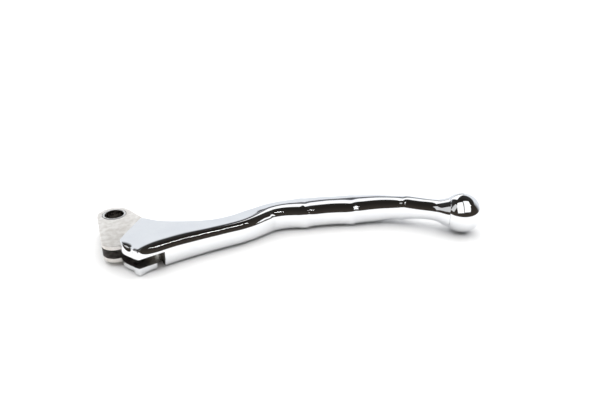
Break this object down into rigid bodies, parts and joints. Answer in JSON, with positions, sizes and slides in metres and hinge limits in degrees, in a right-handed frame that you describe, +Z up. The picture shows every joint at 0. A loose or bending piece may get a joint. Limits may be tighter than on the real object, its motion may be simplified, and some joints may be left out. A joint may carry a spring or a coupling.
{
  "type": "motorcycle clutch lever",
  "caption": "Bare chromed motorcycle clutch lever with a ball end, scalloped finger grip, slotted cable nose, pivot sleeve and swivelling cable anchor.",
  "frame": {"origin": "on the pivot axis, at the lever's middle height, half way between the two faces of the pivot ear", "axes": "+X runs from the pivot axis to the ball end's centre in plan, +Y points to the rider's side, towards the handlebar grip, and +Z runs up along the pivot axis, out of the closed top face of the root"},
  "size_m": [0.1822, 0.0586, 0.019],
  "materials": {
    "chrome_plate": "bright decorative chrome plate over a polished aluminium casting, satin machined faces at the pivot ear",
    "sleeve_steel": "plain turned steel with faced ends and a greased bore",
    "steel": "turned steel, zinc plated"
  },
  "bodies": {
    "bush": {"pivot_bush": "sleeve_steel"},
    "lever": {"lever_blade": "chrome_plate"},
    "barrel": {"cable_barrel": "steel"}
  },
  "joints": [
    {"name": "lever_swing", "type": "hinge", "parent": "bush", "child": "lever", "pos_m": [0, 0, 0], "axis": [0, 0, 1], "range_deg": [0, 24]},
    {"name": "barrel_swivel", "type": "hinge", "parent": "lever", "child": "barrel", "pos_m": [0.0235, -0.024, 0], "axis": [0, 0, 1], "continuous": true}
  ]
}
